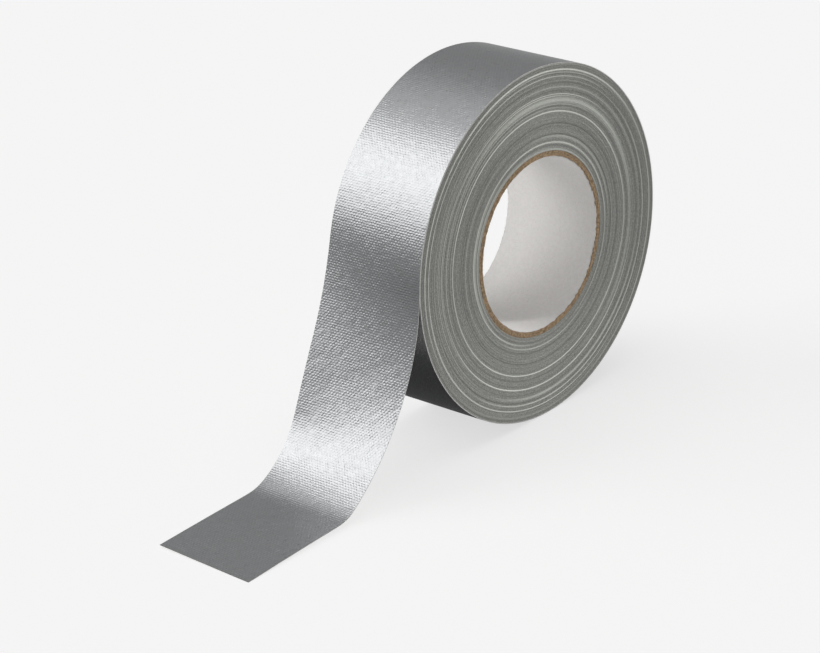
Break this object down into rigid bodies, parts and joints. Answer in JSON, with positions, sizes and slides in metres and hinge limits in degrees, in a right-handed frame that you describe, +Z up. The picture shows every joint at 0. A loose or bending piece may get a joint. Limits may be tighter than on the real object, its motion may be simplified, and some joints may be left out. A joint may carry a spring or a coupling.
{
  "type": "duct tape roll",
  "caption": "Roll of silver cloth duct tape on a kraft cardboard core, standing on its rim with a tail of tape peeled off and lying flat.",
  "frame": {"origin": "centre of the core's bore, halfway across the tape's width", "axes": "+Y along the bore; +Z up as the roll stands on its rim; the free end runs towards -X"},
  "size_m": [0.2657, 0.05, 0.1568],
  "materials": {
    "liner_paper": "matt white paper",
    "kraft_board": "matt brown kraft board",
    "wound_edge": "matt slit tape edges, grey with paler adhesive rings",
    "silver_film": "satin silver polyethylene, embossed by the cloth",
    "cloth_scrim": "open plain-woven cloth",
    "rubber_adhesive": "tacky pale grey rubber adhesive"
  },
  "bodies": {
    "roll": {"core_liner": "liner_paper", "core_ply_inner": "kraft_board", "core_ply_second": "kraft_board", "core_ply_third": "kraft_board", "core_ply_fourth": "kraft_board", "core_ply_outer": "kraft_board", "wound_tape_1": "wound_edge", "wound_tape_2": "wound_edge", "wound_tape_3": "wound_edge", "wound_tape_4": "wound_edge", "wound_tape_5": "wound_edge", "wound_tape_6": "wound_edge"},
    "lead": {"outer_turn_film": "silver_film", "outer_turn_scrim": "cloth_scrim", "outer_turn_adhesive": "rubber_adhesive"},
    "drop": {"drop_film": "silver_film", "drop_scrim": "cloth_scrim", "drop_adhesive": "rubber_adhesive"},
    "foot": {"foot_film": "silver_film", "foot_scrim": "cloth_scrim", "foot_adhesive": "rubber_adhesive"}
  },
  "joints": [
    {"name": "unwind", "type": "hinge", "parent": "roll", "child": "lead", "pos_m": [0, 0, 0], "axis": [0, 1, 0], "continuous": true},
    {"name": "tail_swing", "type": "hinge", "parent": "lead", "child": "drop", "pos_m": [-0.07959, 0, 0.00144], "axis": [0, 1, 0], "range_deg": [-6, 60]},
    {"name": "end_lift", "type": "hinge", "parent": "drop", "child": "foot", "pos_m": [-0.13089, 0, -0.07607], "axis": [0, 1, 0], "range_deg": [-50, 90]}
  ]
}
